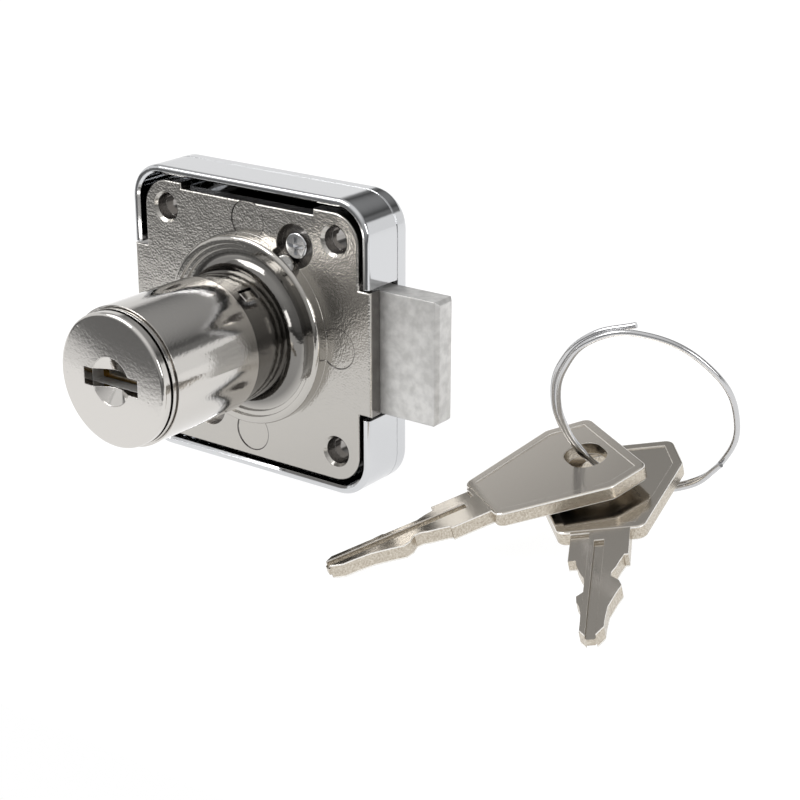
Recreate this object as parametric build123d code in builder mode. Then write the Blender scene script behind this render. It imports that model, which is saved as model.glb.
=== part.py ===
"""Surface-mounted cylinder lock for a sliding or hinged furniture door.

The cylinder axis is the Y axis. Y = 0 is the front of the plate, which lies against
the back of the door, and the cylinder goes forward through the door to -Y. +X is the
way the bolt comes out, and +Z is up. Lengths are in millimetres.
"""
import os
from math import asin, cos, pi, radians, sin, sqrt, tan

from build123d import *

os.makedirs("parts", exist_ok=True)

# Fits
running_gap = 0.05
free_gap = 0.1
loose_gap = 0.2

# Countersinks, all cut with one tool
countersink_angle = 90

# Case: a cast tray behind the plate
case_size = 40.0
case_corner = 5.0
case_wall = 1.1
case_depth = 8.3
case_floor = 1.2
rim_proud = 0.4
rim_round = 0.5
rear_round = 1.0
lip_bevel = 0.3
parting_depth = 5.9
parting_line_width = 0.2
parting_line_depth = 0.12
notch_half = 8.8

# Front plate
plate_thick = 2.0
plate_gap_side = 0.8
plate_gap_top = 0.9
plate_gap_bottom = 0.55
plate_corner = 4.0
plate_edge_round = 0.3
tab_half = 8.4
tab_left_proud = 0.3
top_recess_left = -11.6
top_recess_right = 10.9
top_recess_depth = 0.8
witness_radius = 2.7
witness_depth = 0.1
witness_place = 14.7

# Screw holes for fixing the lock to the door, drilled from the rear
mount_spacing = 28.6
mount_hole_radius = 1.75
mount_boss_radius = 3.2
mount_sink_radius = 3.3
mount_mouth_radius = 2.15

# The two screws that hold the tray to the plate
screw_angle = 57.87
screw_collar_gap = 0.11
screw_head_radius = 1.75
screw_head_height = 1.0
screw_head_round = 0.25
screw_shank_radius = 1.1
screw_length = 4.6
screw_recess_radius = 3.0
screw_recess_depth = 1.25
screw_boss_radius = 2.7
cross_width = 0.5
cross_depth = 0.5
cross_length = 2.4

# Collar and tube, cast in one with the plate
collar_radius = 12.9
collar_height = 1.9
collar_round = 0.6
collar_land = 1.1
collar_ring_width = 0.7
collar_ring_step = 0.35
cove_radius = 1.8
tube_radius = 8.8
tube_bore_radius = 7.8
seam_forward = 9.0

# Sleeve of the cylinder, pushed into the tube
sleeve_radius = 9.1
sleeve_front = 24.6
sleeve_ring_radius = 8.85
sleeve_ring_length = 0.5
sleeve_groove_radius = 8.5
sleeve_groove_width = 0.2
spigot_rear = 0.8

# Plug, the part that the key turns
plug_radius = 6.5
tail_radius = 4.0
tail_shoulder = 9.4
plug_front = 24.9
tail_rear = 0.6
keyway_half_width = 4.5
keyway_half_height = 1.15
keyway_rear = 9.6
tail_keyway_half_width = 3.0
tail_keyway_rear = 5.6
tongue_width = 1.8
tongue_length = 6.0
tongue_height = 0.6

# Face disc on the front of the plug
face_radius = 8.7
face_front = 26.4
face_dome = 0.3
face_round = 0.45
face_cone_radius = 3.15
face_cone_depth = 1.25
face_cone_bottom = 1.2
peg_radius = 0.7
peg_height = 1.4
peg_place = 4.9

# Tumblers
tumbler_count = 5
tumbler_first = 22.4
tumbler_pitch = 2.8
tumbler_thick = 1.0
tumbler_half_height = 2.4
tumbler_end_radius = 6.4
tumbler_travel = 0.8
window_half_width = 4.6
window_half_height = 1.3
lug_outer = 4.2
lug_inner = 3.2
lug_top = 3.85
spring_coil_radius = 0.5
spring_wire_radius = 0.11
spring_turns = 6
spring_length = 4.0

# Retaining catch of the sleeve
catch_angle = 54.0
catch_forward = 6.1
catch_width = 1.7
catch_length = 2.4
catch_outer = 8.6
catch_inner = 6.4
catch_bevel = 0.25
catch_travel = 0.85
catch_spring_length = 0.9
catch_spring_turns = 2

# Cam that drives the bolt
cam_radius = 6.2
cam_rear = 1.85
pin_radius = 1.5
pin_throw = 4.5
pin_end = 5.3
cam_screw_radius = 1.2
cam_screw_head_radius = 2.2
cam_screw_end = 4.2

# Bolt
bolt_half_height = 8.25
bolt_front = 2.1
bolt_thick = 3.5
bolt_reach = 28.9
bolt_tail = -8.0
bolt_bevel = 0.45
bolt_slot_low = -1.9
bolt_slot_high = 6.4
rib_width = 0.8
rib_gap = 0.15
pad_rib_place = 6.6

# Keys: both are the same blank
key_thick = 1.9
key_near_half = 5.1
key_wide_half = 9.5
key_wide_place = 13.4
key_far_half = 8.1
key_far_place = 19.0
key_corner = 1.3
key_border = 1.2
key_panel_depth = 0.16
key_edge_round = 0.3
key_hole_place = 14.5
key_hole_width = 4.9
key_hole_length = 6.3
blade_thick = 1.8
neck_half = 3.55
neck_length = 5.3
groove_low = -0.6
groove_high = 0.6
groove_depth = 0.5
groove_start = 1.9
ledge_place = -1.25
ledge_depth = 0.4
ledge_start = 0.3
blade_left_cuts = [
    (5.3, 3.1), (6.4, 2.65), (7.8, 2.2), (8.7, 1.75), (9.5, 1.75), (10.4, 2.7),
    (11.4, 3.05), (12.9, 2.45), (14.0, 2.1), (15.2, 1.7), (17.2, 1.5), (18.9, 1.45),
]
blade_right_cuts = [
    (5.3, 2.65), (6.5, 2.4), (8.0, 1.9), (8.9, 1.45), (10.2, 1.3), (11.6, 1.3),
    (12.4, 2.1), (13.5, 2.0), (14.3, 1.65), (15.6, 1.4), (17.2, 1.35), (19.2, 1.35),
]
blade_length = 20.5
blade_tip_half = 0.45

# How the keys and the ring lie beside the lock
key_1_spot = (40.24, -4.88, -12.71)
key_1_turn = (-123.95, 15.8, -0.6)
key_2_spot = (56.3, -3.45, -13.08)
key_2_turn = (-62.35, 9.76, 10.5)
ring_centre = (55.46, 7.17, -1.77)
ring_normal = (0.2822, -0.9031, -0.3236)
ring_radius = 11.7
ring_wire_radius = 0.38
ring_turns = 1.9


def at(forward):
    """The plane facing forward, this far in front of the plate's face."""
    return Plane.XZ.offset(forward)


def lying(spot, turn):
    """A plane whose X runs along a key's blade: heading, dip of the tip, roll."""
    heading, dip, roll = (radians(angle) for angle in turn)
    along = Vector(cos(heading) * cos(dip), sin(heading) * cos(dip), -sin(dip))
    flat_up = Vector(cos(heading) * sin(dip), sin(heading) * sin(dip), cos(dip))
    side = flat_up.cross(along)
    return Plane(origin=spot, x_dir=along, z_dir=flat_up * cos(roll) - side * sin(roll))


case_inside_half = case_size / 2 - case_wall
plate_width = 2 * (case_inside_half - plate_gap_side)
plate_top = case_inside_half - plate_gap_top
plate_bottom = plate_gap_bottom - case_inside_half
mount_spots = [
    (x * mount_spacing / 2, z * mount_spacing / 2) for x in (-1, 1) for z in (-1, 1)
]
collar_ring_outer = collar_radius - collar_land
collar_ring_inner = collar_ring_outer - collar_ring_width
screw_place = collar_radius + screw_collar_gap + screw_head_radius
screw_x = screw_place * cos(radians(screw_angle))
screw_z = screw_place * sin(radians(screw_angle))
screw_spots = [(screw_x, screw_z), (-screw_x, -screw_z)]
witness_spots = [(witness_place, 0), (-witness_place, 0), (0, witness_place), (0, -witness_place)]
floor_front = case_depth - case_floor
bolt_rear = bolt_front + bolt_thick

# Front plate with collar and tube
with BuildPart() as front_plate:
    with BuildSketch(at(-plate_thick)):
        with Locations((0, (plate_top + plate_bottom) / 2)):
            RectangleRounded(plate_width, plate_top - plate_bottom, plate_corner)
        with Locations((-tab_left_proud / 2, 0)):
            Rectangle(case_size + tab_left_proud, 2 * tab_half)
        with Locations(((top_recess_left + top_recess_right) / 2, plate_top)):
            Rectangle(top_recess_right - top_recess_left, 2 * top_recess_depth, mode=Mode.SUBTRACT)
    extrude(amount=plate_thick)
    fillet(front_plate.faces().sort_by(Axis.Y)[0].edges(), plate_edge_round)
    with BuildSketch(at(0)):
        with Locations(*witness_spots):
            Circle(witness_radius)
    extrude(amount=-witness_depth, mode=Mode.SUBTRACT)
    with BuildSketch(at(0)):
        with Locations(*screw_spots):
            Circle(screw_recess_radius)
    extrude(amount=-screw_recess_depth, mode=Mode.SUBTRACT)
    with BuildSketch(Plane.XY):
        with BuildLine():
            outer = collar_height - collar_ring_step
            inner = outer - collar_ring_step
            cove_start = (tube_radius + cove_radius, -inner)
            cove_end = (tube_radius, -inner - cove_radius)
            cove_middle = (
                tube_radius + cove_radius * (1 - sqrt(0.5)),
                -inner - cove_radius * (1 - sqrt(0.5)),
            )
            Polyline(
                (tube_radius - running_gap, screw_recess_depth),
                (collar_radius, screw_recess_depth),
                (collar_radius, -collar_height),
                (collar_ring_outer, -collar_height),
                (collar_ring_outer, -outer),
                (collar_ring_inner, -outer),
                (collar_ring_inner, -inner),
                cove_start,
            )
            ThreePointArc(cove_start, cove_middle, cove_end)
            Polyline(
                cove_end,
                (tube_radius, -seam_forward),
                (tube_radius - running_gap - (tube_radius - tube_bore_radius), -seam_forward),
                (tube_radius - running_gap - (tube_radius - tube_bore_radius), screw_recess_depth),
                (tube_radius - running_gap, screw_recess_depth),
            )
        make_face()
    revolve(axis=Axis.Y)
    collar_rim = front_plate.edges().filter_by(GeomType.CIRCLE).filter_by(
        lambda edge: abs(edge.radius - collar_radius) < free_gap
        and abs(edge.center().Y + collar_height) < free_gap
    )
    fillet(collar_rim, collar_round)
    with BuildSketch(at(-plate_thick)):
        Circle(tube_bore_radius)
    extrude(amount=plate_thick + seam_forward, mode=Mode.SUBTRACT)
    with Locations(at(0)):
        with Locations(*mount_spots):
            CounterSinkHole(mount_hole_radius, mount_mouth_radius, plate_thick, countersink_angle)
    with BuildSketch(at(0)):
        with Locations(*screw_spots):
            Circle(screw_shank_radius + running_gap)
    extrude(amount=-plate_thick, mode=Mode.SUBTRACT)
    with BuildSketch(Plane(origin=(0, -catch_forward, 0), x_dir=(0, 1, 0),
                           z_dir=(cos(radians(catch_angle)), 0, sin(radians(catch_angle))))):
        Rectangle(catch_length + 2 * free_gap, catch_width + 2 * free_gap)
    extrude(amount=tube_radius + free_gap, mode=Mode.SUBTRACT)
front_plate.part.label = "front_plate"
export_step(front_plate.part, "parts/front_plate.step")

# Rear cover: the plated tray with its screw bosses and the ribs that guide the bolt
with BuildPart() as rear_cover:
    with BuildSketch(at(-case_depth)):
        RectangleRounded(case_size, case_size, case_corner)
    extrude(amount=case_depth + rim_proud)
    fillet(rear_cover.faces().sort_by(Axis.Y)[-1].edges(), rear_round)
    fillet(rear_cover.faces().sort_by(Axis.Y)[0].edges(), rim_round)
    with BuildSketch(at(-floor_front)):
        RectangleRounded(case_size - 2 * case_wall, case_size - 2 * case_wall, case_corner - case_wall)
    extrude(amount=floor_front + rim_proud, mode=Mode.SUBTRACT)
    chamfer(rear_cover.faces().sort_by(Axis.Y)[0].inner_wires().edges(), lip_bevel)
    with BuildSketch(at(-parting_depth)):
        RectangleRounded(
            case_size + 2 * parting_line_depth,
            case_size + 2 * parting_line_depth,
            case_corner + parting_line_depth,
        )
        RectangleRounded(
            case_size - 2 * parting_line_depth,
            case_size - 2 * parting_line_depth,
            case_corner - parting_line_depth,
            mode=Mode.SUBTRACT,
        )
    extrude(amount=parting_line_width, mode=Mode.SUBTRACT)
    with BuildSketch(at(-floor_front)):
        with Locations(*mount_spots):
            Circle(mount_boss_radius)
        with Locations(*screw_spots):
            Circle(screw_boss_radius)
    extrude(amount=floor_front - plate_thick)
    rib_place = bolt_half_height + rib_gap + rib_width / 2
    with BuildSketch(at(-floor_front)):
        with Locations((0, rib_place), (0, -rib_place)):
            Rectangle(case_size - 2 * case_wall, rib_width)
    extrude(amount=floor_front - plate_thick - free_gap)
    with BuildSketch(at(-floor_front)):
        with Locations((0, pad_rib_place), (0, -pad_rib_place)):
            Rectangle(case_size - 2 * case_wall, rib_width)
    extrude(amount=floor_front - bolt_rear - rib_gap)
    with BuildSketch(at(-parting_depth)):
        for end in (-1, 1):
            with Locations((end * (case_size - case_wall) / 2, 0)):
                Rectangle(case_wall + 2 * free_gap, 2 * notch_half)
    extrude(amount=parting_depth + rim_proud, mode=Mode.SUBTRACT)
    with Locations(Plane(origin=(0, case_depth, 0), x_dir=(1, 0, 0), z_dir=(0, 1, 0))):
        with Locations(*mount_spots):
            CounterSinkHole(mount_hole_radius, mount_sink_radius, case_depth, countersink_angle)
    with BuildSketch(at(-plate_thick)):
        with Locations(*screw_spots):
            Circle(screw_shank_radius + running_gap)
    extrude(amount=-(screw_length + screw_recess_depth - plate_thick + loose_gap), mode=Mode.SUBTRACT)
rear_cover.part.label = "rear_cover"
export_step(rear_cover.part, "parts/rear_cover.step")

# The two screws through the plate into the cover's bosses
with BuildPart() as cover_screws:
    with BuildSketch(at(-screw_recess_depth)):
        with Locations(*screw_spots):
            Circle(screw_head_radius)
    extrude(amount=screw_head_height)
    head_edges = cover_screws.faces().group_by(Axis.Y)[0].edges()
    fillet(head_edges, screw_head_round)
    with BuildSketch(at(-screw_recess_depth)):
        with Locations(*screw_spots):
            Circle(screw_shank_radius)
    extrude(amount=-screw_length)
    with BuildSketch(at(screw_head_height - screw_recess_depth)):
        with Locations(*screw_spots):
            Rectangle(cross_length, cross_width)
            Rectangle(cross_width, cross_length)
    extrude(amount=-cross_depth, mode=Mode.SUBTRACT)
cover_screws.part.label = "cover_screws"
export_step(cover_screws.part, "parts/cover_screws.step")

# Sleeve that carries the plug
groove_side = plug_radius + running_gap
spigot_radius = tube_bore_radius - running_gap
catch_spring_rear = catch_inner - running_gap - catch_spring_length
catch_pocket_bottom = catch_spring_rear - catch_travel - free_gap
with BuildPart() as core_sleeve:
    with BuildSketch(Plane.XY):
        with BuildLine():
            ring_rear = sleeve_front - sleeve_ring_length
            Polyline(
                (tail_radius + running_gap, -spigot_rear),
                (spigot_radius, -spigot_rear),
                (spigot_radius, -seam_forward),
                (sleeve_radius, -seam_forward),
                (sleeve_radius, -(ring_rear - sleeve_groove_width)),
                (sleeve_groove_radius, -(ring_rear - sleeve_groove_width)),
                (sleeve_groove_radius, -ring_rear),
                (sleeve_ring_radius, -ring_rear),
                (sleeve_ring_radius, -sleeve_front),
                (groove_side, -sleeve_front),
                (groove_side, -(tail_shoulder - loose_gap)),
                (tail_radius + running_gap, -(tail_shoulder - loose_gap)),
                (tail_radius + running_gap, -spigot_rear),
            )
        make_face()
    revolve(axis=Axis.Y)
    tumbler_last = tumbler_first - (tumbler_count - 1) * tumbler_pitch
    groove_end = tumbler_travel + tumbler_end_radius + free_gap
    groove_half = tumbler_half_height + loose_gap
    with BuildSketch(at(tumbler_last - tumbler_thick)):
        Rectangle(2 * groove_end, 2 * groove_half)
        Circle(plug_radius, mode=Mode.SUBTRACT)
    extrude(amount=tumbler_first - tumbler_last + 2 * tumbler_thick, mode=Mode.SUBTRACT)
    with BuildSketch(Plane(origin=(0, -catch_forward, 0), x_dir=(0, 1, 0),
                           z_dir=(cos(radians(catch_angle)), 0, sin(radians(catch_angle)))
                           ).offset(catch_pocket_bottom)):
        Rectangle(catch_length + 2 * running_gap, catch_width + 2 * running_gap)
    extrude(amount=tube_radius - catch_pocket_bottom, mode=Mode.SUBTRACT)
core_sleeve.part.label = "core_sleeve"
export_step(core_sleeve.part, "parts/core_sleeve.step")

# Places of the tumblers along the plug, and the side that each one slides to
tumblers = [
    (index + 1, tumbler_first - index * tumbler_pitch, -1 if index % 2 == 0 else 1)
    for index in range(tumbler_count)
]
spring_end = lug_inner - running_gap - spring_length
pocket_low = tumbler_half_height + free_gap
pocket_middle = (pocket_low + lug_top + free_gap) / 2
pocket_height = lug_top + free_gap - pocket_low
pocket_outer = lug_outer + tumbler_travel + free_gap
spring_axis_z = tumbler_half_height + free_gap + spring_coil_radius + spring_wire_radius + running_gap

# Plug
with BuildPart() as plug:
    with BuildSketch(at(tail_shoulder)):
        Circle(plug_radius)
    extrude(amount=plug_front - tail_shoulder)
    with BuildSketch(at(tail_rear)):
        Circle(tail_radius)
    extrude(amount=tail_shoulder - tail_rear)
    with BuildSketch(at(tail_rear)):
        Rectangle(tongue_length, tongue_width)
    extrude(amount=-tongue_height)
    with BuildSketch(at(plug_front)):
        Rectangle(2 * keyway_half_width, 2 * keyway_half_height)
    extrude(amount=-(plug_front - keyway_rear), mode=Mode.SUBTRACT)
    with BuildSketch(at(keyway_rear)):
        Rectangle(2 * tail_keyway_half_width, 2 * keyway_half_height)
    extrude(amount=-(keyway_rear - tail_keyway_rear), mode=Mode.SUBTRACT)
    for _, place, side in tumblers:
        slot_thick = tumbler_thick + 2 * running_gap
        with BuildSketch(at(place - slot_thick / 2)):
            Rectangle(2 * (plug_radius + free_gap), 2 * (tumbler_half_height + free_gap))
        extrude(amount=slot_thick, mode=Mode.SUBTRACT)
        pocket_thick = 2 * (spring_coil_radius + spring_wire_radius + running_gap)
        with BuildSketch(at(place - pocket_thick / 2)):
            with Locations((side * (pocket_outer + spring_end - running_gap) / 2, pocket_middle)):
                Rectangle(pocket_outer - spring_end + running_gap, pocket_height)
        extrude(amount=pocket_thick, mode=Mode.SUBTRACT)
    with BuildSketch(at(plug_front)):
        with Locations((0, peg_place), (0, -peg_place)):
            Circle(peg_radius + running_gap)
    extrude(amount=-(peg_height + running_gap), mode=Mode.SUBTRACT)
    with BuildSketch(at(tail_rear - tongue_height)):
        Circle(cam_screw_radius + running_gap)
    extrude(amount=cam_screw_end + free_gap - tail_rear + tongue_height, mode=Mode.SUBTRACT)
plug.part.label = "plug"
export_step(plug.part, "parts/plug.step")

# Face disc, staked on the front of the plug
with BuildPart() as face_disc:
    with BuildSketch(Plane.XY):
        with BuildLine():
            dome_radius = (face_radius ** 2 + face_dome ** 2) / (2 * face_dome)
            half_turn = asin(face_radius / dome_radius) / 2
            dome_middle = (
                dome_radius * sin(half_turn),
                -(face_front - dome_radius * (1 - cos(half_turn))),
            )
            Line((0, -face_front), (0, -plug_front))
            Line((0, -plug_front), (face_radius, -plug_front))
            Line((face_radius, -plug_front), (face_radius, -(face_front - face_dome)))
            ThreePointArc((face_radius, -(face_front - face_dome)), dome_middle, (0, -face_front))
        make_face()
    revolve(axis=Axis.Y)
    rim_edges = face_disc.edges().filter_by(GeomType.CIRCLE).filter_by(
        lambda edge: abs(edge.radius - face_radius) < free_gap
    )
    fillet(rim_edges.sort_by(Axis.Y)[0], face_round)
    with BuildSketch(at(plug_front)):
        with Locations((0, peg_place), (0, -peg_place)):
            Circle(peg_radius)
    extrude(amount=-peg_height)
    with BuildSketch(at(plug_front)):
        Rectangle(2 * keyway_half_width, 2 * keyway_half_height)
    extrude(amount=face_front - plug_front, mode=Mode.SUBTRACT)
    with BuildSketch(Plane.XY):
        with BuildLine():
            cone_mouth = face_front + free_gap
            Polyline(
                (0, -cone_mouth),
                (face_cone_radius, -cone_mouth),
                (face_cone_radius, -face_front + free_gap),
                (face_cone_bottom, -(face_front - face_cone_depth)),
                (0, -(face_front - face_cone_depth)),
                (0, -cone_mouth),
            )
        make_face()
    revolve(axis=Axis.Y, mode=Mode.SUBTRACT)
face_disc.part.label = "face_disc"
export_step(face_disc.part, "parts/face_disc.step")

# Tumblers and their springs
for number, place, side in tumblers:
    with BuildPart() as tumbler:
        with BuildSketch(at(place - tumbler_thick / 2)):
            Circle(tumbler_end_radius)
            Rectangle(2 * tumbler_end_radius, 2 * tumbler_half_height, mode=Mode.INTERSECT)
            Rectangle(2 * window_half_width, 2 * window_half_height, mode=Mode.SUBTRACT)
            with Locations((side * (lug_outer + lug_inner) / 2, (tumbler_half_height + lug_top) / 2)):
                Rectangle(lug_outer - lug_inner, lug_top - tumbler_half_height)
        extrude(amount=tumbler_thick)
    tumbler.part.label = f"tumbler_{number}"
    export_step(tumbler.part, f"parts/tumbler_{number}.step")
    with BuildPart() as tumbler_spring:
        first_coil = Vector(side * (lug_inner - running_gap - spring_wire_radius), -place, spring_axis_z)
        coil_height = spring_length - 2 * spring_wire_radius
        with BuildLine():
            coil = Helix(
                pitch=coil_height / spring_turns,
                height=coil_height,
                radius=spring_coil_radius,
                center=first_coil,
                direction=(-side, 0, 0),
            )
        with BuildSketch(Plane(origin=coil @ 0, z_dir=coil % 0)):
            Circle(spring_wire_radius)
        sweep(path=coil, is_frenet=True)
    tumbler_spring.part.label = f"tumbler_spring_{number}"
    export_step(tumbler_spring.part, f"parts/tumbler_spring_{number}.step")

# Catch that keeps the sleeve in the tube, and its spring
catch_way = Vector(cos(radians(catch_angle)), 0, sin(radians(catch_angle)))
catch_plane = Plane(origin=(0, -catch_forward, 0), x_dir=(0, 1, 0), z_dir=catch_way)
with BuildPart() as retaining_catch:
    with BuildSketch(catch_plane.offset(catch_inner)):
        Rectangle(catch_length, catch_width)
    extrude(amount=catch_outer - catch_inner)
    catch_end = retaining_catch.faces().sort_by(Axis(origin=(0, 0, 0), direction=catch_way))[-1]
    chamfer(catch_end.edges(), catch_bevel)
retaining_catch.part.label = "retaining_catch"
export_step(retaining_catch.part, "parts/retaining_catch.step")

with BuildPart() as catch_spring:
    coil_top = catch_inner - running_gap - spring_wire_radius
    coil_height = catch_spring_length - 2 * spring_wire_radius
    with BuildLine():
        coil = Helix(
            pitch=coil_height / catch_spring_turns,
            height=coil_height,
            radius=spring_coil_radius,
            center=Vector(0, -catch_forward, 0) + catch_way * coil_top,
            direction=catch_way * -1,
        )
    with BuildSketch(Plane(origin=coil @ 0, z_dir=coil % 0)):
        Circle(spring_wire_radius)
    sweep(path=coil, is_frenet=True)
catch_spring.part.label = "catch_spring"
export_step(catch_spring.part, "parts/catch_spring.step")

# Cam with its eccentric pin, on the end of the plug
with BuildPart() as drive_cam:
    with BuildSketch(at(-cam_rear)):
        Circle(cam_radius)
    extrude(amount=cam_rear + tail_rear)
    with BuildSketch(at(-cam_rear)):
        with Locations((pin_throw, 0)):
            Circle(pin_radius)
    extrude(amount=-(pin_end - cam_rear))
    with BuildSketch(at(tail_rear)):
        Rectangle(tongue_length + 2 * running_gap, tongue_width + 2 * running_gap)
    extrude(amount=-(tongue_height + running_gap), mode=Mode.SUBTRACT)
    with Locations(Plane(origin=(0, cam_rear, 0), x_dir=(1, 0, 0), z_dir=(0, 1, 0))):
        CounterSinkHole(
            cam_screw_radius + running_gap,
            cam_screw_head_radius + running_gap,
            cam_rear + tail_rear,
            countersink_angle,
        )
drive_cam.part.label = "drive_cam"
export_step(drive_cam.part, "parts/drive_cam.step")

# Countersunk screw that holds the cam on the plug
cam_sink_depth = (cam_screw_head_radius - cam_screw_radius) / tan(radians(countersink_angle / 2))
with BuildPart() as cam_screw:
    with BuildSketch(Plane.XY):
        with BuildLine():
            Polyline(
                (0, cam_rear),
                (cam_screw_head_radius, cam_rear),
                (cam_screw_radius, cam_rear - cam_sink_depth),
                (cam_screw_radius, -cam_screw_end),
                (0, -cam_screw_end),
                (0, cam_rear),
            )
        make_face()
    revolve(axis=Axis.Y)
    with BuildSketch(at(-cam_rear)):
        Rectangle(cross_length, cross_width)
        Rectangle(cross_width, cross_length)
    extrude(amount=cross_depth, mode=Mode.SUBTRACT)
cam_screw.part.label = "cam_screw"
export_step(cam_screw.part, "parts/cam_screw.step")

# Bolt: the slot leaves the pin the lost motion that turns a half turn into a straight push
pin_lag = pin_throw * cos(asin(2 / pi)) + 2 * pin_throw * asin(2 / pi) / pi - pin_throw
slot_half = pin_radius + pin_lag + free_gap
with BuildPart() as bolt:
    with BuildSketch(at(-bolt_rear)):
        with Locations(((bolt_reach + bolt_tail) / 2, 0)):
            Rectangle(bolt_reach - bolt_tail, 2 * bolt_half_height)
    extrude(amount=bolt_thick)
    chamfer(bolt.faces().sort_by(Axis.X)[-1].edges(), bolt_bevel)
    with BuildSketch(at(-bolt_rear)):
        with Locations((pin_throw, (bolt_slot_low + bolt_slot_high) / 2)):
            Rectangle(2 * slot_half, bolt_slot_high - bolt_slot_low)
    extrude(amount=bolt_thick, mode=Mode.SUBTRACT)
bolt.part.label = "bolt"
export_step(bolt.part, "parts/bolt.step")

# Keys
key_places = {"key_1": (key_1_spot, key_1_turn), "key_2": (key_2_spot, key_2_turn)}
for name, (spot, turn) in key_places.items():
    key_top = lying(spot, turn)
    blade_top = key_top.offset(-(key_thick - blade_thick) / 2)
    blade_run_out = blade_length + free_gap
    bow_outline = [
        (0, key_near_half),
        (-key_wide_place, key_wide_half),
        (-key_far_place, key_far_half),
        (-key_far_place, -key_far_half),
        (-key_wide_place, -key_wide_half),
        (0, -key_near_half),
    ]
    blade_outline = (
        [(-key_border, neck_half), (neck_length, neck_half)]
        + blade_left_cuts
        + [(blade_length, blade_tip_half), (blade_length, -blade_tip_half)]
        + [(along, -half) for along, half in reversed(blade_right_cuts)]
        + [(neck_length, -neck_half), (-key_border, -neck_half)]
    )
    with BuildPart() as key:
        with BuildSketch(key_top):
            with BuildLine():
                Polyline(*bow_outline, close=True)
            make_face()
            fillet(vertices(), key_corner)
        extrude(amount=-key_thick)
        bow_faces = key.faces().filter_by(Axis(origin=spot, direction=key_top.z_dir))
        fillet(bow_faces.edges(), key_edge_round)
        for face_plane, inward in ((key_top, -1), (key_top.offset(-key_thick), 1)):
            with BuildSketch(face_plane):
                with BuildLine():
                    Polyline(*bow_outline, close=True)
                make_face()
                offset(amount=-key_border, kind=Kind.INTERSECTION)
            extrude(amount=inward * key_panel_depth, mode=Mode.SUBTRACT)
        with BuildSketch(blade_top):
            with BuildLine():
                Polyline(*blade_outline, close=True)
            make_face()
        extrude(amount=-blade_thick)
        with BuildSketch(blade_top):
            with Locations(((groove_start + blade_run_out) / 2, (groove_low + groove_high) / 2)):
                Rectangle(blade_run_out - groove_start, groove_high - groove_low)
            with Locations(((ledge_start + blade_run_out) / 2, ledge_place - neck_half / 2)):
                Rectangle(blade_run_out - ledge_start, neck_half, mode=Mode.SUBTRACT)
        extrude(amount=-groove_depth, mode=Mode.SUBTRACT)
        with BuildSketch(blade_top):
            with Locations(((ledge_start + blade_run_out) / 2, ledge_place - neck_half / 2)):
                Rectangle(blade_run_out - ledge_start, neck_half)
        extrude(amount=-ledge_depth, mode=Mode.SUBTRACT)
        with BuildSketch(blade_top.offset(-blade_thick)):
            with Locations(((groove_start + blade_run_out) / 2, -(groove_low + groove_high) / 2)):
                Rectangle(blade_run_out - groove_start, groove_high - groove_low)
        extrude(amount=groove_depth, mode=Mode.SUBTRACT)
        with BuildSketch(key_top):
            with Locations((-key_hole_place, 0)):
                SlotOverall(key_hole_length, key_hole_width, rotation=90)
        extrude(amount=-key_thick, mode=Mode.SUBTRACT)
    key.part.label = name
    export_step(key.part, f"parts/{name}.step")

# Split ring: a round wire wound almost twice
with BuildPart() as key_ring:
    ring_pitch = 2 * (ring_wire_radius + running_gap)
    ring_height = ring_pitch * ring_turns
    ring_way = Vector(*ring_normal).normalized()
    with BuildLine():
        wire = Helix(
            pitch=ring_pitch,
            height=ring_height,
            radius=ring_radius,
            center=Vector(*ring_centre) - ring_way * (ring_height / 2),
            direction=ring_way,
        )
    with BuildSketch(Plane(origin=wire @ 0, z_dir=wire % 0)):
        Circle(ring_wire_radius)
    sweep(path=wire, is_frenet=True)
key_ring.part.label = "key_ring"
export_step(key_ring.part, "parts/key_ring.step")
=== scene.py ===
"""A square cast furniture lock with its forward cylinder, side bolt, two keys and split ring.

The cylinder points to -Y, the bolt comes out to +X, and +Z is up. Lengths are in metres.
"""
from math import cos, radians, sin

import bpy
from mathutils import Matrix, Vector


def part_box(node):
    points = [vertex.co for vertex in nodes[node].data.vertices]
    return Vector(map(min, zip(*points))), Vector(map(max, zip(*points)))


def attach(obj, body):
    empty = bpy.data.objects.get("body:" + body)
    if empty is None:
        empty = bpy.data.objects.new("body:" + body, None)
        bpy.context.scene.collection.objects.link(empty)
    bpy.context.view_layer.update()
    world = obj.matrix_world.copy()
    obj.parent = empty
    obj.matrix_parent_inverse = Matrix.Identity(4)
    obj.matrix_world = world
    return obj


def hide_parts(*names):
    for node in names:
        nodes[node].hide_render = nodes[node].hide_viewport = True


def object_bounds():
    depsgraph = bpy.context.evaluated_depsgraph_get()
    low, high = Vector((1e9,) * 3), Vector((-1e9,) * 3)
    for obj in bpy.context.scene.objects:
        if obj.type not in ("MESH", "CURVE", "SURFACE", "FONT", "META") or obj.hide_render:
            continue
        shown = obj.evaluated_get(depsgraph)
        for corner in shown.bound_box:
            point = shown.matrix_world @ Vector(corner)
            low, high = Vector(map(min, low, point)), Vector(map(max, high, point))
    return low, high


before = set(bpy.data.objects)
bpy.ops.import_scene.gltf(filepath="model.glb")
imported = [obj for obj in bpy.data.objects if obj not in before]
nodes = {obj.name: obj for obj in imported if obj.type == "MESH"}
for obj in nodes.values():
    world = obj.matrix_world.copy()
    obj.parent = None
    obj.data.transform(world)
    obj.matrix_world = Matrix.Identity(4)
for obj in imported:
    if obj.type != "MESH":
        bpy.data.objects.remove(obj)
cad_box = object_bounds()
scene = bpy.context.scene
scene.view_settings.view_transform = "Standard"

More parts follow.
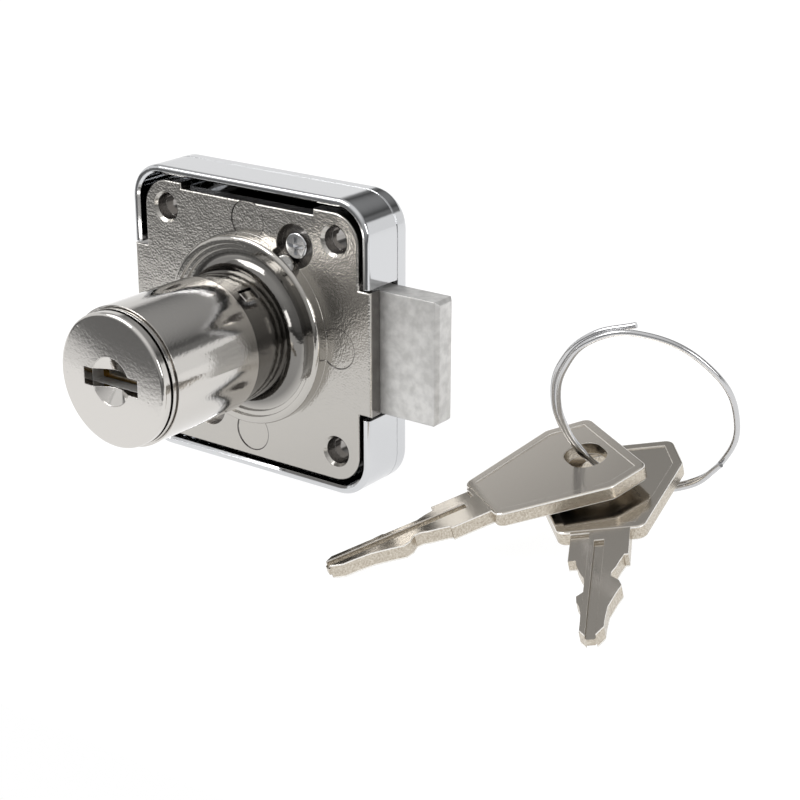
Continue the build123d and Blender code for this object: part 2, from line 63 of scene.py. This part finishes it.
# Camera: a long lens from the front right, a little above the lock.
# Its place and turn are those of the photograph.
camera_place = Vector((0.156914, -0.181614, 0.079011))
camera_azimuth = radians(36.06)
camera_elevation = radians(20.46)
camera_roll = radians(0.11)
photo_width = 800
focal_pixels = 1893.6
sensor_width = 36.0
nearest_seen = 0.01
farthest_seen = 10.0
back = Vector((
    sin(camera_azimuth) * cos(camera_elevation),
    -cos(camera_azimuth) * cos(camera_elevation),
    sin(camera_elevation),
))
camera = bpy.data.objects.new("camera", bpy.data.cameras.new("camera"))
scene.collection.objects.link(camera)
camera.data.sensor_width = sensor_width
camera.data.lens = sensor_width * focal_pixels / photo_width
camera.data.clip_start = nearest_seen
camera.data.clip_end = farthest_seen
turn = (-back).to_track_quat("-Z", "Y").to_matrix() @ Matrix.Rotation(camera_roll, 3, "Z")
camera.matrix_world = Matrix.Translation(camera_place) @ turn.to_4x4()
scene.camera = camera


def linear(colour):
    """An sRGB hex colour as the linear values that a shader takes."""
    parts = [int(colour[place:place + 2], 16) / 255 for place in (1, 3, 5)]
    levels = [p / 12.92 if p <= 0.04045 else ((p + 0.055) / 1.055) ** 2.4 for p in parts]
    return (*levels, 1.0)


def add(tree, kind, inputs=None, **settings):
    """Adds a node with its settings. An input is a value, or the output that is linked to it."""
    node = tree.nodes.new(kind)
    for name, value in settings.items():
        setattr(node, name, value)
    for name, value in (inputs or {}).items():
        if isinstance(value, bpy.types.NodeSocket):
            tree.links.new(value, node.inputs[name])
        else:
            node.inputs[name].default_value = value
    return node


def finish(name):
    """An empty material of that name, with its node tree."""
    material = bpy.data.materials.new(name)
    material.use_nodes = True
    material.node_tree.nodes.clear()
    return material, material.node_tree


def wear(material, *names):
    """Gives CAD nodes their finish."""
    for name in names:
        nodes[name].data.materials.clear()
        nodes[name].data.materials.append(material)


# Studio: a white paper that lies under the lock and ends a little in front of it.
# The eye sees it white, both straight on and in the metal.
floor_drop = 0.0001
floor_half = 1.5
floor_front = -0.065
floor_low = cad_box[0].z - floor_drop
paper_colour = "#f2f2f2"
paper_lift = 0.8
paper_glow = 1.15
floor_mesh = bpy.data.meshes.new("floor")
floor_mesh.from_pydata(
    [
        (-floor_half, floor_front, floor_low), (floor_half, floor_front, floor_low),
        (floor_half, floor_half, floor_low), (-floor_half, floor_half, floor_low),
    ],
    [], [(0, 1, 2, 3)],
)
floor = bpy.data.objects.new("floor", floor_mesh)
scene.collection.objects.link(floor)
paper, tree = finish("white_paper")
matte = add(tree, "ShaderNodeBsdfDiffuse", {"Color": linear(paper_colour)})
glow = add(tree, "ShaderNodeEmission", {"Color": (1, 1, 1, 1), "Strength": paper_glow})
ray = add(tree, "ShaderNodeLightPath")
white = add(tree, "ShaderNodeMath", {
    0: ray.outputs["Is Camera Ray"], 1: ray.outputs["Is Glossy Ray"],
}, operation="MAXIMUM")
lift = add(tree, "ShaderNodeMath", {0: white.outputs[0], 1: paper_lift}, operation="MULTIPLY")
mixed = add(tree, "ShaderNodeMixShader", {
    0: lift.outputs[0], 1: matte.outputs[0], 2: glow.outputs[0],
})
add(tree, "ShaderNodeOutputMaterial", {"Surface": mixed.outputs[0]})
floor_mesh.materials.append(paper)

# Room: dark in front of the lock and light below and above, in bands that tilt up at the back.
# Each band has its height, from 0 straight down to 1 straight up, and its level of light.
# A white card stands at the back left, and the camera itself sees plain white.
backdrop_rise = 0.45
room_bands = [
    (0.0, 0.95), (0.49, 0.95), (0.515, 0.16), (0.55, 0.2), (0.58, 0.08),
    (0.63, 0.24), (0.68, 0.34), (0.8, 0.45), (1.0, 0.9),
]
card_left = (-0.44, -0.60)
card_top = (0.62, 0.50)
card_foot = (0.0, 0.10)
card_level = 0.9
world = bpy.data.worlds.new("studio")
scene.world = world
world.use_nodes = True
tree = world.node_tree
tree.nodes.clear()
way = add(tree, "ShaderNodeTexCoord").outputs["Generated"]
parts = add(tree, "ShaderNodeSeparateXYZ", {0: way})
above = add(tree, "ShaderNodeVectorMath", {
    0: way, 1: (0.0, -backdrop_rise, 1.0),
}, operation="DOT_PRODUCT")
height = add(tree, "ShaderNodeMapRange", {
    "Value": above.outputs["Value"], "From Min": -1.0, "From Max": 1.0,
})
room = add(tree, "ShaderNodeValToRGB", {"Fac": height.outputs[0]})
bands = room.color_ramp.elements
for place, level in room_bands[1:-1]:
    bands.new(place).color = (level, level, level, 1)
for band, (place, level) in zip((bands[0], bands[-1]), (room_bands[0], room_bands[-1])):
    band.position = place
    band.color = (level, level, level, 1)
card = add(tree, "ShaderNodeValue")
card.outputs[0].default_value = card_level
for axis, (start, full) in (("X", card_left), ("Z", card_top), ("Z", card_foot)):
    side = add(tree, "ShaderNodeMapRange", {
        "Value": parts.outputs[axis], "From Min": start, "From Max": full,
    })
    card = add(tree, "ShaderNodeMath", {
        0: card.outputs[0], 1: side.outputs[0],
    }, operation="MULTIPLY")
around = add(tree, "ShaderNodeMath", {
    0: room.outputs["Color"], 1: card.outputs[0],
}, operation="MAXIMUM")
seen = add(tree, "ShaderNodeLightPath")
room_light = add(tree, "ShaderNodeBackground", {"Color": around.outputs[0], "Strength": 1.0})
backdrop = add(tree, "ShaderNodeBackground", {"Color": (1, 1, 1, 1), "Strength": 1.0})
mixed = add(tree, "ShaderNodeMixShader", {
    0: seen.outputs["Is Camera Ray"], 1: room_light.outputs[0], 2: backdrop.outputs[0],
})
add(tree, "ShaderNodeOutputWorld", {"Surface": mixed.outputs[0]})

# Lamps: a soft box over the left shoulder, and a weaker one low on the right.
# Each has its place, its side and its power in watts.
lamp_aim = Vector((0.02, -0.01, 0.0))
lamps = {
    "overhead_left": ((-0.25, -0.35, 0.45), 0.35, 2.2),
    "low_right": ((0.55, -0.10, 0.20), 0.25, 0.8),
}
for name, (place, side, power) in lamps.items():
    lamp = bpy.data.lights.new(name, "AREA")
    lamp.size = side
    lamp.energy = power
    holder = bpy.data.objects.new(name, lamp)
    scene.collection.objects.link(holder)
    holder.location = place
    holder.rotation_mode = "QUATERNION"
    holder.rotation_quaternion = (lamp_aim - Vector(place)).to_track_quat("-Z", "Y")

# Front plate: zinc pressed into a die, then satin nickel plated, so its flat has a fine grain.
# The collar and tube in its middle were polished before plating and are much smoother.
# The tube, the joint at its front and every recess are painted darker: painted shade, and a
# painted shadow in the joint.
plate_colour = "#bab7b2"
plate_grain = 0.0003
plate_grain_detail = 1.0
plate_wave = 0.0026
plate_wave_weight = 1.6
plate_grain_height = 0.00015
plate_relief = 0.27
plate_rough = 0.21
plate_edge_round = 0.00012
collar_edge = 0.0131
collar_relief = 0.06
collar_rough = 0.09
# Painted shade: a thin dark ring coloured into each witness circle's groove.
witness_groove_shade_colour = "#6b6866"
witness_place = 0.0147
witness_radius = 0.0027
witness_line = 0.00008
# Painted shade: the tube around the cylinder is coloured darker.
tube_shade_colour = "#7d7b78"
tube_edge = 0.0098
tube_fade = 0.0113
# Painted shadow: a near-black band in the joint behind the sleeve.
joint_shadow_colour = "#2b2a29"
joint_place = -0.00875
# Painted shade: every surface set back behind the plate's front is coloured darker.
sunk_shade_colour = "#7b7875"
sunk_depth = 0.00038
plated_zinc, tree = finish("satin_nickel_on_die_cast_zinc")
spot = add(tree, "ShaderNodeTexCoord").outputs["Object"]
parts = add(tree, "ShaderNodeSeparateXYZ", {0: spot})
flat = add(tree, "ShaderNodeCombineXYZ", {"X": parts.outputs["X"], "Z": parts.outputs["Z"]})
reach = add(tree, "ShaderNodeVectorMath", {0: flat.outputs[0]}, operation="LENGTH")
outside = add(tree, "ShaderNodeMath", {
    0: reach.outputs["Value"], 1: collar_edge,
}, operation="GREATER_THAN")
rough = add(tree, "ShaderNodeMapRange", {
    "Value": outside.outputs[0], "To Min": collar_rough, "To Max": plate_rough,
})
strength = add(tree, "ShaderNodeMapRange", {
    "Value": outside.outputs[0], "To Min": collar_relief, "To Max": plate_relief,
})
grain = add(tree, "ShaderNodeTexNoise", {
    "Vector": spot, "Scale": 1 / plate_grain, "Detail": plate_grain_detail,
})
wave = add(tree, "ShaderNodeTexNoise", {"Vector": spot, "Scale": 1 / plate_wave})
relief = add(tree, "ShaderNodeMath", {
    0: wave.outputs["Fac"], 1: plate_wave_weight, 2: grain.outputs["Fac"],
}, operation="MULTIPLY_ADD")
edge = add(tree, "ShaderNodeBevel", {"Radius": plate_edge_round})
bumps = add(tree, "ShaderNodeBump", {
    "Strength": strength.outputs[0], "Distance": plate_grain_height,
    "Height": relief.outputs[0], "Normal": edge.outputs[0],
})
across = add(tree, "ShaderNodeMath", {0: parts.outputs["X"]}, operation="ABSOLUTE")
upright = add(tree, "ShaderNodeMath", {0: parts.outputs["Z"]}, operation="ABSOLUTE")
far = add(tree, "ShaderNodeMath", {
    0: across.outputs[0], 1: upright.outputs[0],
}, operation="MAXIMUM")
near = add(tree, "ShaderNodeMath", {
    0: across.outputs[0], 1: upright.outputs[0],
}, operation="MINIMUM")
past_pin = add(tree, "ShaderNodeMath", {
    0: far.outputs[0], 1: witness_place,
}, operation="SUBTRACT")
from_pin = add(tree, "ShaderNodeCombineXYZ", {"X": past_pin.outputs[0], "Y": near.outputs[0]})
pin_reach = add(tree, "ShaderNodeVectorMath", {0: from_pin.outputs[0]}, operation="LENGTH")
pin_ring = add(tree, "ShaderNodeMath", {
    0: pin_reach.outputs["Value"], 1: witness_radius, 2: witness_line,
}, operation="COMPARE")
# Painted shade in the witness grooves, on the flat only.
pin_groove_shade = add(tree, "ShaderNodeMath", {
    0: pin_ring.outputs[0], 1: outside.outputs[0],
}, operation="MULTIPLY")
tone = add(tree, "ShaderNodeMix", {
    "Factor": pin_groove_shade.outputs[0], 6: linear(plate_colour), 7: linear(witness_groove_shade_colour),
}, data_type="RGBA")
tube_shade = add(tree, "ShaderNodeMapRange", {
    "Value": reach.outputs["Value"], "From Min": tube_fade, "From Max": tube_edge,
})
joint_shadow = add(tree, "ShaderNodeMath", {
    0: parts.outputs["Y"], 1: joint_place,
}, operation="LESS_THAN")
sunk_shade = add(tree, "ShaderNodeMath", {
    0: parts.outputs["Y"], 1: sunk_depth,
}, operation="GREATER_THAN")
# Painted shade on the tube and in the recesses, and a painted shadow in the joint, mixed into
# the plate's colour.
for mask, colour in ((tube_shade, tube_shade_colour), (joint_shadow, joint_shadow_colour), (sunk_shade, sunk_shade_colour)):
    tone = add(tree, "ShaderNodeMix", {
        "Factor": mask.outputs[0], 6: tone.outputs[2], 7: linear(colour),
    }, data_type="RGBA")
shader = add(tree, "ShaderNodeBsdfPrincipled", {
    "Base Color": tone.outputs[2], "Metallic": 1.0,
    "Roughness": rough.outputs[0], "Normal": bumps.outputs[0],
})
add(tree, "ShaderNodeOutputMaterial", {"Surface": shader.outputs[0]})
wear(plated_zinc, "front_plate")

# Rear cover: a die-cast tray, buffed and plated with bright chrome.
# The eye gets a clean mirror with slow waves left by the buffing wheel.
# The four screw bores are coloured greyer, as painted shade inside them.
chrome_colour = "#d0d1d3"
chrome_rough = 0.07
chrome_wave = 0.004
chrome_wave_height = 0.00005
chrome_relief = 0.25
chrome_edge_round = 0.00015
bore_shade_colour = "#a19e9b"
bore_place = 0.0143
bore_reach = 0.0023
chrome, tree = finish("bright_chrome")
spot = add(tree, "ShaderNodeTexCoord").outputs["Object"]
wave = add(tree, "ShaderNodeTexNoise", {"Vector": spot, "Scale": 1 / chrome_wave})
edge = add(tree, "ShaderNodeBevel", {"Radius": chrome_edge_round})
bumps = add(tree, "ShaderNodeBump", {
    "Strength": chrome_relief, "Distance": chrome_wave_height,
    "Height": wave.outputs["Fac"], "Normal": edge.outputs[0],
})
folded = add(tree, "ShaderNodeVectorMath", {0: spot}, operation="ABSOLUTE")
parts = add(tree, "ShaderNodeSeparateXYZ", {0: folded.outputs[0]})
flat = add(tree, "ShaderNodeCombineXYZ", {"X": parts.outputs["X"], "Z": parts.outputs["Z"]})
from_bore = add(tree, "ShaderNodeVectorMath", {
    0: flat.outputs[0], 1: (bore_place, 0.0, bore_place),
}, operation="DISTANCE")
# Painted shade: a greyer colour inside the four screw bores.
bore_shade = add(tree, "ShaderNodeMath", {
    0: from_bore.outputs["Value"], 1: bore_reach,
}, operation="LESS_THAN")
tone = add(tree, "ShaderNodeMix", {
    "Factor": bore_shade.outputs[0], 6: linear(chrome_colour), 7: linear(bore_shade_colour),
}, data_type="RGBA")
shader = add(tree, "ShaderNodeBsdfPrincipled", {
    "Base Color": tone.outputs[2], "Metallic": 1.0,
    "Roughness": chrome_rough, "Normal": bumps.outputs[0],
})
add(tree, "ShaderNodeOutputMaterial", {"Surface": shader.outputs[0]})
wear(chrome, "rear_cover")

# Sleeve, face disc and catch: turned or cast, tumbled and bright nickel plated.
# The plating has a faint orange peel and a few pits, which break up its reflections.
nickel_colour = "#cfccc8"
nickel_rough = 0.1
nickel_relief = 0.25
nickel_edge_round = 0.00012
peel_size = 0.0004
peel_height = 0.00003
pit_spacing = 0.0016
pit_reach = 0.12
pit_height = 0.00002
nickel, tree = finish("bright_nickel")
spot = add(tree, "ShaderNodeTexCoord").outputs["Object"]
peel = add(tree, "ShaderNodeTexNoise", {"Vector": spot, "Scale": 1 / peel_size})
pit = add(tree, "ShaderNodeTexVoronoi", {"Vector": spot, "Scale": 1 / pit_spacing})
pit_depth = add(tree, "ShaderNodeMapRange", {
    "Value": pit.outputs["Distance"], "From Max": pit_reach,
})
edge = add(tree, "ShaderNodeBevel", {"Radius": nickel_edge_round})
peel_bumps = add(tree, "ShaderNodeBump", {
    "Strength": nickel_relief, "Distance": peel_height,
    "Height": peel.outputs["Fac"], "Normal": edge.outputs[0],
})
bumps = add(tree, "ShaderNodeBump", {
    "Strength": nickel_relief, "Distance": pit_height,
    "Height": pit_depth.outputs[0], "Normal": peel_bumps.outputs[0],
})
shader = add(tree, "ShaderNodeBsdfPrincipled", {
    "Base Color": linear(nickel_colour), "Metallic": 1.0,
    "Roughness": nickel_rough, "Normal": bumps.outputs[0],
})
add(tree, "ShaderNodeOutputMaterial", {"Surface": shader.outputs[0]})
wear(nickel, "core_sleeve", "face_disc", "retaining_catch")

# Bolt, plug and cam: zinc castings left as they came out of the die.
# Bare zinc is matte and mottled, with a light and a dark grey in soft patches.
zinc_dark = "#c5c4c2"
zinc_light = "#dddcda"
zinc_metal = 0.7
zinc_rough = 0.45
zinc_patch = 0.0013
zinc_patch_detail = 5.0
zinc_patch_range = (0.35, 0.65)
zinc_grain = 0.0004
zinc_grain_detail = 3.0
zinc_grain_height = 0.00002
zinc_relief = 0.4
zinc_edge_round = 0.0002
zinc, tree = finish("raw_cast_zinc")
spot = add(tree, "ShaderNodeTexCoord").outputs["Object"]
patch = add(tree, "ShaderNodeTexNoise", {
    "Vector": spot, "Scale": 1 / zinc_patch, "Detail": zinc_patch_detail,
})
shade = add(tree, "ShaderNodeMapRange", {
    "Value": patch.outputs["Fac"],
    "From Min": zinc_patch_range[0], "From Max": zinc_patch_range[1],
})
tone = add(tree, "ShaderNodeMix", {
    "Factor": shade.outputs[0], 6: linear(zinc_dark), 7: linear(zinc_light),
}, data_type="RGBA")
grain = add(tree, "ShaderNodeTexNoise", {
    "Vector": spot, "Scale": 1 / zinc_grain, "Detail": zinc_grain_detail,
})
edge = add(tree, "ShaderNodeBevel", {"Radius": zinc_edge_round})
bumps = add(tree, "ShaderNodeBump", {
    "Strength": zinc_relief, "Distance": zinc_grain_height,
    "Height": grain.outputs["Fac"], "Normal": edge.outputs[0],
})
shader = add(tree, "ShaderNodeBsdfPrincipled", {
    "Base Color": tone.outputs[2], "Metallic": zinc_metal,
    "Roughness": zinc_rough, "Normal": bumps.outputs[0],
})
add(tree, "ShaderNodeOutputMaterial", {"Surface": shader.outputs[0]})
wear(zinc, "bolt", "plug", "drive_cam")

# Screws and springs: drawn steel, zinc plated or left bright.
# The eye gets a hard glint with a fine unevenness from the drawing die.
steel_colour = "#d3d4d6"
steel_rough = 0.16
steel_relief = 0.2
draw_size = 0.0005
draw_height = 0.00001
steel, tree = finish("drawn_steel")
spot = add(tree, "ShaderNodeTexCoord").outputs["Object"]
drawn = add(tree, "ShaderNodeTexNoise", {"Vector": spot, "Scale": 1 / draw_size})
bumps = add(tree, "ShaderNodeBump", {
    "Strength": steel_relief, "Distance": draw_height, "Height": drawn.outputs["Fac"],
})
shader = add(tree, "ShaderNodeBsdfPrincipled", {
    "Base Color": linear(steel_colour), "Metallic": 1.0,
    "Roughness": steel_rough, "Normal": bumps.outputs[0],
})
add(tree, "ShaderNodeOutputMaterial", {"Surface": shader.outputs[0]})
spring_names = [f"tumbler_spring_{number}" for number in range(1, 6)]
wear(steel, "cover_screws", "cam_screw", "catch_spring", *spring_names)

# Split ring: hard drawn wire wound one turn and two thirds, a little oval from being opened.
# Its outer end stands off, and its inner end lies against the first turn.
# The route gives degrees turned and distance from the centre, from the outer end inward.
ring_colour = "#c8c8c9"
ring_score = 0.0012
ring_score_height = 0.00002
ring_relief = 0.15
ring_rough = (0.12, 0.26)
ring_wire = 0.00038
ring_pitch = 0.00086
ring_start = 93
ring_route = [
    (0, 0.0124), (27, 0.01195), (54, 0.0115), (81, 0.0112), (112, 0.0111), (142, 0.0114),
    (177, 0.0117), (207, 0.0118), (237, 0.0114), (267, 0.01125), (307, 0.0112), (357, 0.01175),
    (387, 0.0117), (414, 0.0109), (441, 0.0104), (470, 0.0102), (489, 0.01035),
    (504, 0.0108), (519, 0.01135), (534, 0.01165), (567, 0.01165), (594, 0.0113),
]
ring_steps = 16
ring_sides = 6
wire, tree = finish("bright_ring_wire")
spot = add(tree, "ShaderNodeTexCoord").outputs["Object"]
score = add(tree, "ShaderNodeTexNoise", {"Vector": spot, "Scale": 1 / ring_score})
rough = add(tree, "ShaderNodeMapRange", {
    "Value": score.outputs["Fac"], "To Min": ring_rough[0], "To Max": ring_rough[1],
})
bumps = add(tree, "ShaderNodeBump", {
    "Strength": ring_relief, "Distance": ring_score_height, "Height": score.outputs["Fac"],
})
shader = add(tree, "ShaderNodeBsdfPrincipled", {
    "Base Color": linear(ring_colour), "Metallic": 1.0,
    "Roughness": rough.outputs[0], "Normal": bumps.outputs[0],
})
add(tree, "ShaderNodeOutputMaterial", {"Surface": shader.outputs[0]})
wear(wire, "key_ring")
ring_face = Vector((0.2822, -0.9031, -0.3236)).normalized()
ring_across = Vector((0, 0, 1)).cross(ring_face).normalized()
ring_up = ring_face.cross(ring_across)
ring_low, ring_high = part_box("key_ring")
ring_centre = (Vector(ring_low) + Vector(ring_high)) / 2
ring_curve = bpy.data.curves.new("split_ring", "CURVE")
ring_curve.dimensions = "3D"
ring_curve.resolution_u = ring_steps
ring_curve.bevel_depth = ring_wire
ring_curve.bevel_resolution = ring_sides
ring_curve.use_fill_caps = True
spline = ring_curve.splines.new("BEZIER")
spline.bezier_points.add(len(ring_route) - 1)
ring_middle = ring_route[-1][0] / 2
for point, (turned, out) in zip(spline.bezier_points, ring_route):
    angle = radians(ring_start + turned)
    radial = ring_across * cos(angle) + ring_up * sin(angle)
    beside = ring_pitch * (turned - ring_middle) / 360
    point.co = ring_centre + radial * out + ring_face * beside
    point.handle_left_type = "AUTO"
    point.handle_right_type = "AUTO"
split_ring = bpy.data.objects.new("split_ring", ring_curve)
scene.collection.objects.link(split_ring)
ring_curve.materials.append(wire)
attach(split_ring, "key_ring")
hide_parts("key_ring")

# Tumblers: stamped from brass strip.
# Yellow metal, smooth on the faces and a little duller than the plated pieces.
brass_colour = "#c9a75c"
brass_rough = 0.3
brass_relief = 0.2
brass_grain = 0.0003
brass_grain_height = 0.00001
brass, tree = finish("stamped_brass")
spot = add(tree, "ShaderNodeTexCoord").outputs["Object"]
grain = add(tree, "ShaderNodeTexNoise", {"Vector": spot, "Scale": 1 / brass_grain})
bumps = add(tree, "ShaderNodeBump", {
    "Strength": brass_relief, "Distance": brass_grain_height, "Height": grain.outputs["Fac"],
})
shader = add(tree, "ShaderNodeBsdfPrincipled", {
    "Base Color": linear(brass_colour), "Metallic": 1.0,
    "Roughness": brass_rough, "Normal": bumps.outputs[0],
})
add(tree, "ShaderNodeOutputMaterial", {"Surface": shader.outputs[0]})
wear(brass, *[f"tumbler_{number}" for number in range(1, 6)])

# Keys: blanked from nickel silver strip, the bows coined with a raised border, then plated.
# The broad faces are smooth, and the coined step at the rim is coloured near white and less
# metallic, as a painted highlight.
# The sheared edges are rough, mottled and warmer.
key_face_colour = "#c9c3ba"
key_face_relief = 0.08
key_face_rough = 0.14
key_edge_slant = 0.7
key_edge_dark = "#aba193"
key_edge_light = "#d3ccbf"
key_edge_relief = 0.7
key_edge_rough = 0.26
key_edge_round = 0.00012
key_shear = 0.00022
key_shear_detail = 4.0
key_shear_height = 0.00005
key_shear_range = (0.3, 0.7)
key_step_highlight_colour = "#f4f1ec"
key_step_highlight_metal = 0.35
key_rim = 0.00022
for name in ("key_1", "key_2"):
    key_mesh = nodes[name].data
    flat_way = max(key_mesh.polygons, key=lambda face: face.area).normal
    heights = [point.co.dot(flat_way) for point in key_mesh.vertices]
    key_middle = (min(heights) + max(heights)) / 2
    key_core = (max(heights) - min(heights)) / 2 - key_rim
    blank, tree = finish("nickel_plated_" + name)
    coords = add(tree, "ShaderNodeTexCoord")
    facing = add(tree, "ShaderNodeVectorMath", {
        0: coords.outputs["Normal"], 1: flat_way,
    }, operation="DOT_PRODUCT")
    square = add(tree, "ShaderNodeMath", {0: facing.outputs["Value"]}, operation="ABSOLUTE")
    side = add(tree, "ShaderNodeMath", {
        0: square.outputs[0], 1: key_edge_slant,
    }, operation="LESS_THAN")
    height = add(tree, "ShaderNodeVectorMath", {
        0: coords.outputs["Object"], 1: flat_way,
    }, operation="DOT_PRODUCT")
    core = add(tree, "ShaderNodeMath", {
        0: height.outputs["Value"], 1: key_middle, 2: key_core,
    }, operation="COMPARE")
    sheared = add(tree, "ShaderNodeMath", {
        0: side.outputs[0], 1: core.outputs[0],
    }, operation="MULTIPLY")
    # Painted highlight: a near-white, less metallic band on the coined step at each face's rim.
    step_highlight = add(tree, "ShaderNodeMath", {
        0: side.outputs[0], 1: core.outputs[0],
    }, operation="GREATER_THAN")
    shear = add(tree, "ShaderNodeTexNoise", {
        "Vector": coords.outputs["Object"], "Scale": 1 / key_shear, "Detail": key_shear_detail,
    })
    torn = add(tree, "ShaderNodeMapRange", {
        "Value": shear.outputs["Fac"],
        "From Min": key_shear_range[0], "From Max": key_shear_range[1],
    })
    edge_tone = add(tree, "ShaderNodeMix", {
        "Factor": torn.outputs[0], 6: linear(key_edge_dark), 7: linear(key_edge_light),
    }, data_type="RGBA")
    tone = add(tree, "ShaderNodeMix", {
        "Factor": sheared.outputs[0], 6: linear(key_face_colour), 7: edge_tone.outputs[2],
    }, data_type="RGBA")
    tone = add(tree, "ShaderNodeMix", {
        "Factor": step_highlight.outputs[0], 6: tone.outputs[2], 7: linear(key_step_highlight_colour),
    }, data_type="RGBA")
    metal = add(tree, "ShaderNodeMapRange", {
        "Value": step_highlight.outputs[0], "To Min": 1.0, "To Max": key_step_highlight_metal,
    })
    rough = add(tree, "ShaderNodeMapRange", {
        "Value": sheared.outputs[0], "To Min": key_face_rough, "To Max": key_edge_rough,
    })
    strength = add(tree, "ShaderNodeMapRange", {
        "Value": sheared.outputs[0], "To Min": key_face_relief, "To Max": key_edge_relief,
    })
    edge = add(tree, "ShaderNodeBevel", {"Radius": key_edge_round})
    bumps = add(tree, "ShaderNodeBump", {
        "Strength": strength.outputs[0], "Distance": key_shear_height,
        "Height": shear.outputs["Fac"], "Normal": edge.outputs[0],
    })
    shader = add(tree, "ShaderNodeBsdfPrincipled", {
        "Base Color": tone.outputs[2], "Metallic": metal.outputs[0],
        "Roughness": rough.outputs[0], "Normal": bumps.outputs[0],
    })
    add(tree, "ShaderNodeOutputMaterial", {"Surface": shader.outputs[0]})
    wear(blank, name)
